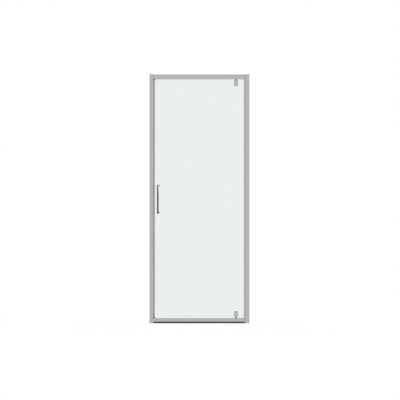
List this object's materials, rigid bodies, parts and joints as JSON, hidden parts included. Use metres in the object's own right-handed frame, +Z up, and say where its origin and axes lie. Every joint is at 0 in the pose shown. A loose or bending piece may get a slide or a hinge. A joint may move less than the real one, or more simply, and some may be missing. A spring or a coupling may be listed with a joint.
{
  "type": "pivot shower door",
  "caption": "Framed pivot shower door with a clear glass leaf, satin aluminium frame, slim bar handle and telescopic wall profiles for an alcove.",
  "frame": {"origin": "middle of the underside of the threshold gasket, where the door stands on the shower tray", "axes": "+Z up, +X to the right as seen from outside, +Y into the shower, so the outside faces -Y"},
  "size_m": [0.762, 0.0717, 1.9],
  "materials": {
    "satin_aluminium": "satin anodised",
    "chrome": "polished",
    "dark_chrome": "polished dark chrome",
    "clear_glass": "clear toughened, polished edges",
    "clear_vinyl": "clear flexible vinyl",
    "dark_rubber": "matt black, fine grain",
    "grey_plastic": "matt moulded",
    "grey_nylon": "matt moulded nylon",
    "stainless_steel": "turned, bright"
  },
  "bodies": {
    "frame": {"strike_stile": "satin_aluminium", "strike_stile_front_leg": "satin_aluminium", "strike_stile_rear_leg": "satin_aluminium", "strike_stop": "satin_aluminium", "hinge_stile": "satin_aluminium", "hinge_stile_front_leg": "satin_aluminium", "hinge_stile_rear_leg": "satin_aluminium", "hinge_lip": "satin_aluminium", "top_rail": "satin_aluminium", "bottom_rail": "satin_aluminium", "corner_screws": "stainless_steel", "threshold_gasket": "dark_rubber", "strike_magnet_strip": "dark_rubber", "hinge_bulb_seal": "grey_plastic", "top_pivot_block": "grey_nylon", "top_pivot_bush": "grey_nylon", "bottom_pivot_block": "grey_nylon", "bottom_pivot_bush": "grey_nylon", "bottom_thrust_washer": "grey_nylon", "pivot_block_screws": "stainless_steel", "left_adjuster_screws": "stainless_steel", "right_adjuster_screws": "stainless_steel", "left_adjuster_caps": "grey_plastic", "right_adjuster_caps": "grey_plastic", "stile_top_plugs": "grey_plastic"},
    "left_wall_channel": {"left_wall_profile": "satin_aluminium", "left_wall_profile_front_leg": "satin_aluminium", "left_wall_profile_rear_leg": "satin_aluminium", "left_wall_profile_cap": "grey_plastic"},
    "right_wall_channel": {"right_wall_profile": "satin_aluminium", "right_wall_profile_front_leg": "satin_aluminium", "right_wall_profile_rear_leg": "satin_aluminium", "right_wall_profile_cap": "grey_plastic"},
    "door": {"glass_panel": "clear_glass", "door_edge_profile": "satin_aluminium", "door_edge_gasket": "grey_plastic", "door_magnet_strip": "dark_rubber", "bottom_seal_long": "clear_vinyl", "bottom_seal_short": "clear_vinyl", "top_clamp_front": "chrome", "top_clamp_back": "chrome", "top_clamp_gaskets": "dark_rubber", "top_pivot_pin": "stainless_steel", "top_clamp_screws": "stainless_steel", "bottom_clamp_front": "chrome", "bottom_clamp_back": "chrome", "bottom_clamp_gaskets": "dark_rubber", "bottom_pivot_pin": "stainless_steel", "bottom_clamp_screws": "stainless_steel", "handle_grip": "dark_chrome", "handle_bolts": "chrome", "handle_front_washers": "clear_vinyl", "handle_back_washers": "clear_vinyl", "handle_hole_sleeves": "clear_vinyl"}
  },
  "joints": [
    {"name": "door_pivot", "type": "hinge", "parent": "frame", "child": "door", "pos_m": [0.279, 0, 0.0467], "axis": [0, 0, 1], "range_deg": [0, 95]},
    {"name": "left_width_adjust", "type": "slide", "parent": "frame", "child": "left_wall_channel", "axis": [-1, 0, 0], "range_m": [0, 0.012]},
    {"name": "right_width_adjust", "type": "slide", "parent": "frame", "child": "right_wall_channel", "axis": [1, 0, 0], "range_m": [0, 0.012]}
  ]
}
